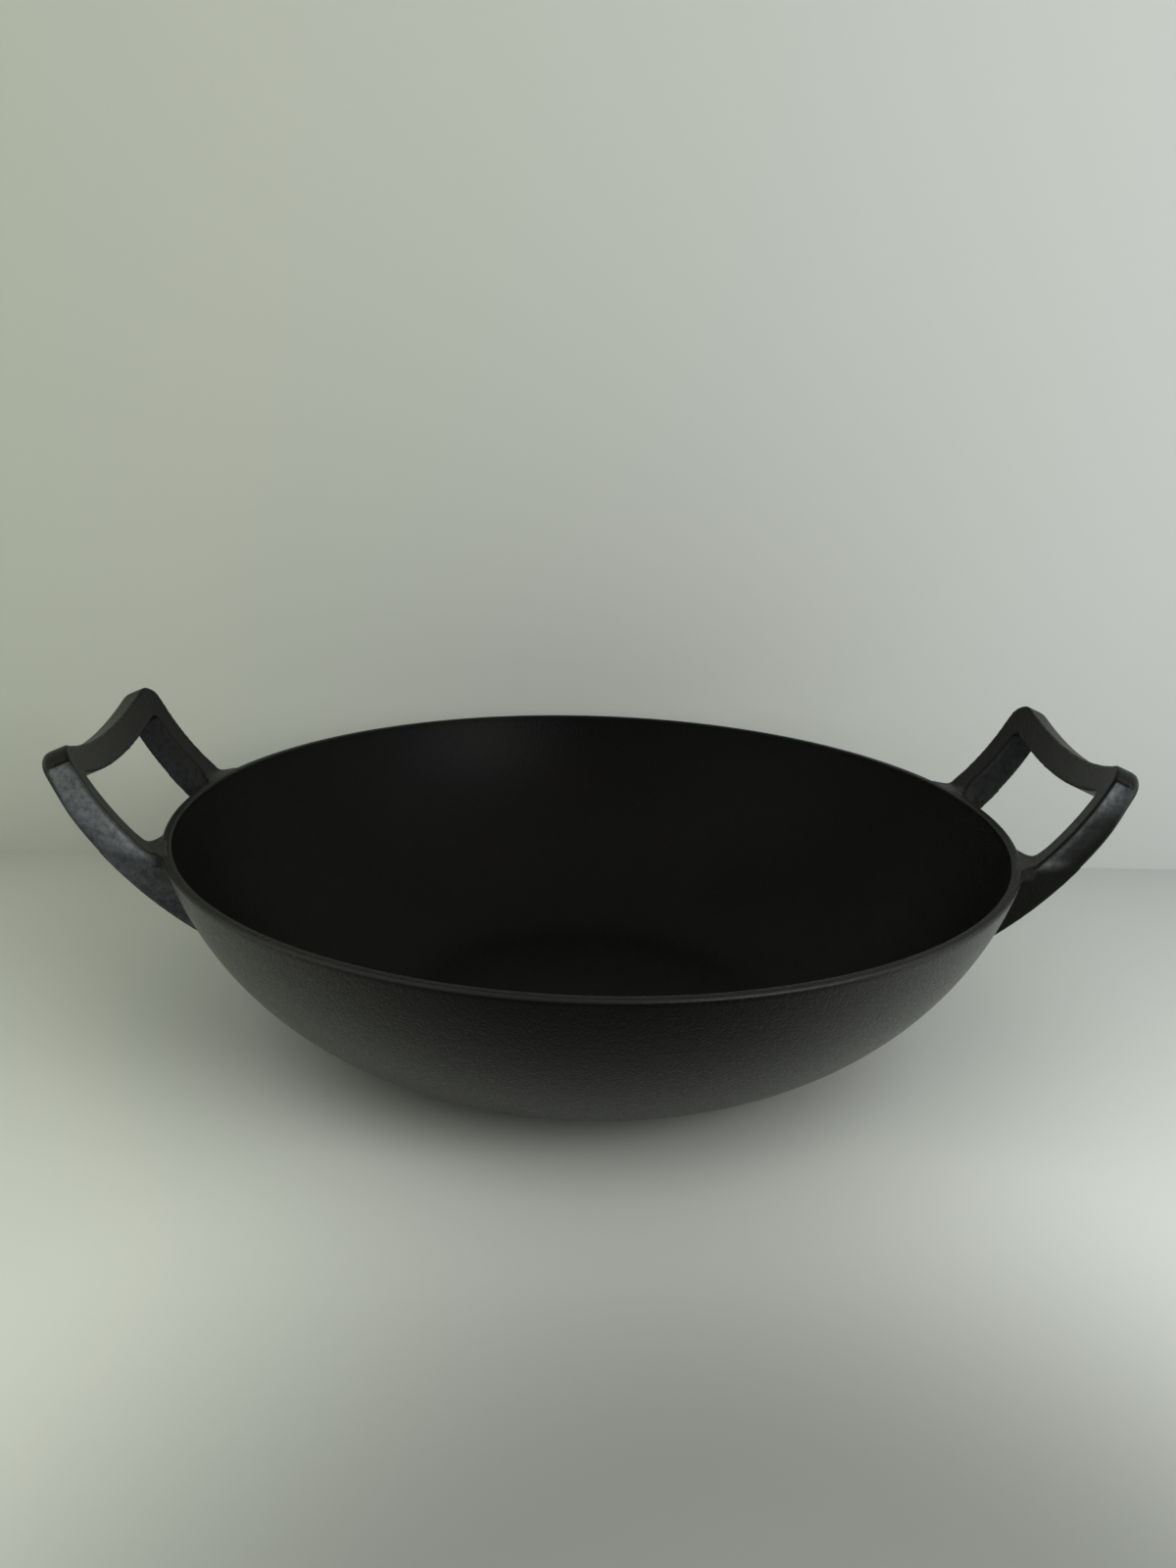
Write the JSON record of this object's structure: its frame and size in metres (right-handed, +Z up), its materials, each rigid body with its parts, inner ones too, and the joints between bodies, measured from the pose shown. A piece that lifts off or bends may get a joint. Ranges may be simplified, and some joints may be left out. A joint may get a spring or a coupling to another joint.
{
  "type": "wok",
  "caption": "Flat-bottomed cast iron wok with a deep round bowl and a raised, dipped loop handle on each side.",
  "frame": {"origin": "centre of the flat bottom, on the surface that the wok stands on", "axes": "+X through the middle of the right handle, +Y to the back, +Z up out of the bowl"},
  "size_m": [0.4342, 0.3556, 0.1334],
  "materials": {
    "seasoned_iron": "black seasoned cast iron, fine-grained and satin"
  },
  "bodies": {
    "root": {"base": "seasoned_iron", "lower_wall": "seasoned_iron", "middle_wall": "seasoned_iron", "upper_wall": "seasoned_iron", "rim": "seasoned_iron", "right_grip": "seasoned_iron", "right_front_arm": "seasoned_iron", "right_rear_arm": "seasoned_iron", "right_front_root": "seasoned_iron", "right_rear_root": "seasoned_iron", "left_grip": "seasoned_iron", "left_front_arm": "seasoned_iron", "left_rear_arm": "seasoned_iron", "left_front_root": "seasoned_iron", "left_rear_root": "seasoned_iron"}
  },
  "joints": []
}
